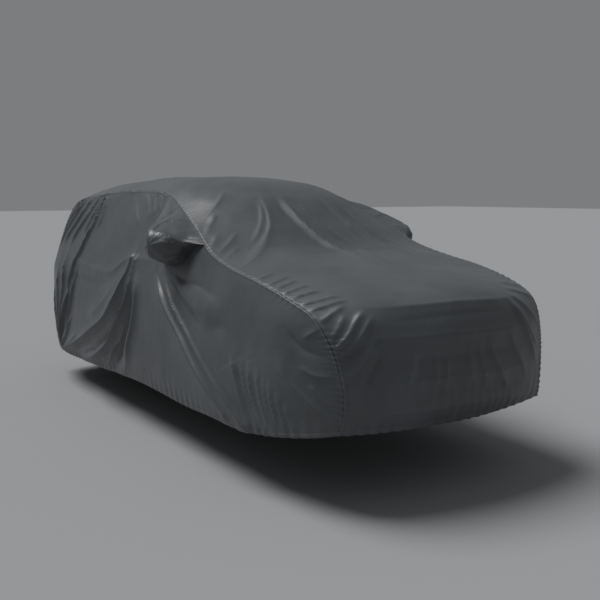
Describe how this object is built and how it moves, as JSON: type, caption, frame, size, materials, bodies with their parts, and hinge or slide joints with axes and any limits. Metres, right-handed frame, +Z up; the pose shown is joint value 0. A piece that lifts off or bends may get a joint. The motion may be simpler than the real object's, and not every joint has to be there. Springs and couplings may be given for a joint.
{
  "type": "car cover",
  "caption": "Fitted cloth cover for a sport utility car, with a long centre strip, shaped sides, sewn mirror pockets and an elastic hem, hanging in soft folds.",
  "frame": {"origin": "on the underside of the roof cloth, over the car's centre line and midway between its axles", "axes": "+Z up, -Y towards the car's front, +X towards the car's left"},
  "size_m": [2.21, 4.8205, 1.5707],
  "materials": {
    "cover_cloth": "satin woven polyester, charcoal grey"
  },
  "bodies": {
    "root": {"top_panel": "cover_cloth", "side_panel_right": "cover_cloth", "side_panel_left": "cover_cloth", "mirror_pocket_right": "cover_cloth", "mirror_pocket_left": "cover_cloth"}
  },
  "joints": []
}
